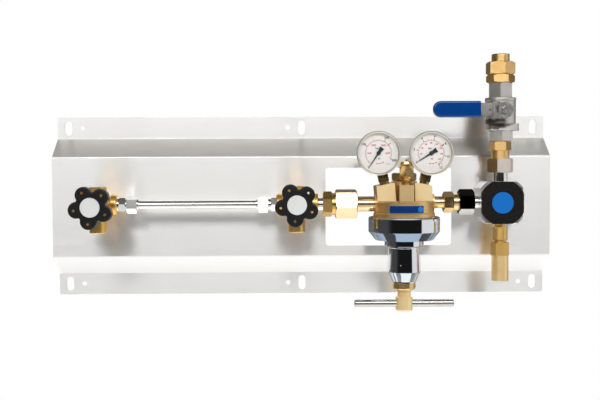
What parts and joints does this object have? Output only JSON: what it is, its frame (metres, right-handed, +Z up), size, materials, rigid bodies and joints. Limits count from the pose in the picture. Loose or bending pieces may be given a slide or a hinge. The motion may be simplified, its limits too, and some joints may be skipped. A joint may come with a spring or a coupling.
{
  "type": "gas cylinder manifold",
  "caption": "Wall-mounted gas cylinder manifold: pressed panel, handwheel inlet valves, pressure regulator with gauges, ball valve outlet and relief valve.",
  "frame": {"origin": "on the wall plane, at the middle of the two middle slots (the panel's middle)", "axes": "+X right along the panel as seen from the front, +Y into the wall, +Z up"},
  "size_m": [0.75, 0.137, 0.3754],
  "materials": {
    "panel_steel": "brushed stainless sheet",
    "zinc_steel": "bright zinc plated",
    "valve_brass": "forged, satin gold",
    "cream_brass": "turned, polished pale",
    "body_brass": "cast and machined, sandy",
    "deep_brass": "turned, deep gold",
    "nickel": "nickel plated",
    "chrome": "polished chrome plate",
    "steel": "bright steel",
    "spring_steel": "spring steel",
    "black_plastic": "matte black",
    "black_gloss": "glossy black",
    "grey_plastic": "light grey",
    "blue_sleeve": "glossy deep blue",
    "blue_label": "blue label film",
    "dial_white": "white dial",
    "gauge_case": "satin nickel",
    "pointer_black": "black",
    "clear": "clear",
    "seal": "white seal material",
    "rubber": "black rubber"
  },
  "bodies": {
    "manifold": {"back_panel": "panel_steel", "panel_screws": "zinc_steel", "valve_a_body": "valve_brass", "valve_b_body": "valve_brass", "valve_glands": "valve_brass", "link_tube": "nickel", "tube_studs": "nickel", "tube_nuts": "nickel", "pipe_nipples": "nickel", "inlet_adapter": "cream_brass", "inlet_nut": "cream_brass", "inlet_stem": "cream_brass", "regulator_body": "body_brass", "blue_labels": "blue_label", "body_plug": "deep_brass", "diaphragm": "rubber", "regulator_bonnet": "chrome", "lock_collar": "deep_brass", "regulator_relief": "deep_brass", "gauge_cases": "gauge_case", "gauge_sockets": "deep_brass", "gauge_dials": "dial_white", "gauge_glasses": "clear", "outlet_stem": "body_brass", "outlet_nut": "chrome", "outlet_block": "nickel", "block_cap": "black_gloss", "swivel_nut": "steel", "brass_adapter": "body_brass", "ball_valve_body": "nickel", "ball_valve_end": "nickel", "seal_rings": "seal", "union_body": "body_brass", "union_nut": "body_brass", "union_tail": "body_brass", "relief_body": "deep_brass", "relief_hood": "deep_brass"},
    "valve_a_wheel": {"valve_a_spindle": "deep_brass", "valve_a_handwheel": "black_plastic", "valve_a_cap": "grey_plastic"},
    "valve_b_wheel": {"valve_b_spindle": "deep_brass", "valve_b_handwheel": "black_plastic", "valve_b_cap": "grey_plastic"},
    "valve_a_disc": {"valve_a_seat": "deep_brass"},
    "valve_b_disc": {"valve_b_seat": "deep_brass"},
    "spring_carrier": {"spring_plate": "steel", "main_spring": "spring_steel"},
    "screw": {"adjusting_screw": "body_brass", "tee_bar": "steel"},
    "poppet": {"poppet": "deep_brass", "poppet_spring": "spring_steel"},
    "left_pointer": {"gauge_left_pointer": "pointer_black"},
    "right_pointer": {"gauge_right_pointer": "pointer_black"},
    "lever": {"lever": "steel", "lever_sleeve": "blue_sleeve", "lever_nut": "steel", "ball_stem": "steel", "ball": "chrome"},
    "relief_disc": {"relief_disc": "deep_brass", "relief_spring": "spring_steel"}
  },
  "joints": [
    {"name": "valve_a_turn", "type": "hinge", "parent": "manifold", "child": "valve_a_wheel", "pos_m": [-0.2986, -0.078, 0.0032], "axis": [0, -1, 0], "range_deg": [0, 720]},
    {"name": "valve_a_lift", "type": "slide", "parent": "manifold", "child": "valve_a_disc", "axis": [0, -1, 0], "range_m": [0, 0.003]},
    {"name": "valve_b_turn", "type": "hinge", "parent": "manifold", "child": "valve_b_wheel", "pos_m": [-0.0086, -0.078, 0.0054], "axis": [0, -1, 0], "range_deg": [0, 720]},
    {"name": "valve_b_lift", "type": "slide", "parent": "manifold", "child": "valve_b_disc", "axis": [0, -1, 0], "range_m": [0, 0.003]},
    {"name": "spring_travel", "type": "slide", "parent": "manifold", "child": "spring_carrier", "axis": [0, 0, 1], "range_m": [0, 0.008], "deforming": ["main_spring"]},
    {"name": "pressure_adjust", "type": "hinge", "parent": "spring_carrier", "child": "screw", "pos_m": [0.149, -0.078, -0.1419], "axis": [0, 0, 1], "range_deg": [0, 1440]},
    {"name": "poppet_lift", "type": "slide", "parent": "manifold", "child": "poppet", "axis": [0, 0, 1], "range_m": [0, 0.001], "stiffness_N_per_m": 500, "springref_m": -0.004, "deforming": ["poppet_spring"]},
    {"name": "left_gauge", "type": "hinge", "parent": "manifold", "child": "left_pointer", "pos_m": [0.1079, -0.115, 0.0782], "axis": [0, 1, 0], "range_deg": [0, 270], "stiffness_Nm_per_rad": 0.0004},
    {"name": "right_gauge", "type": "hinge", "parent": "manifold", "child": "right_pointer", "pos_m": [0.1832, -0.115, 0.0779], "axis": [0, 1, 0], "range_deg": [0, 270], "stiffness_Nm_per_rad": 0.0004},
    {"name": "lever_turn", "type": "hinge", "parent": "manifold", "child": "lever", "pos_m": [0.2904, -0.107, 0.1396], "axis": [0, 1, 0], "range_deg": [0, 90]},
    {"name": "relief_lift", "type": "slide", "parent": "manifold", "child": "relief_disc", "axis": [0, 0, -1], "range_m": [0, 0.002], "stiffness_N_per_m": 800, "springref_m": -0.005, "deforming": ["relief_spring"]}
  ],
  "couplings": [
    {"joint": "valve_a_lift", "follows": "valve_a_turn", "m_per_rad": 0.00023873},
    {"joint": "valve_b_lift", "follows": "valve_b_turn", "m_per_rad": 0.00023873},
    {"joint": "spring_travel", "follows": "pressure_adjust", "m_per_rad": 0.00031831}
  ]
}
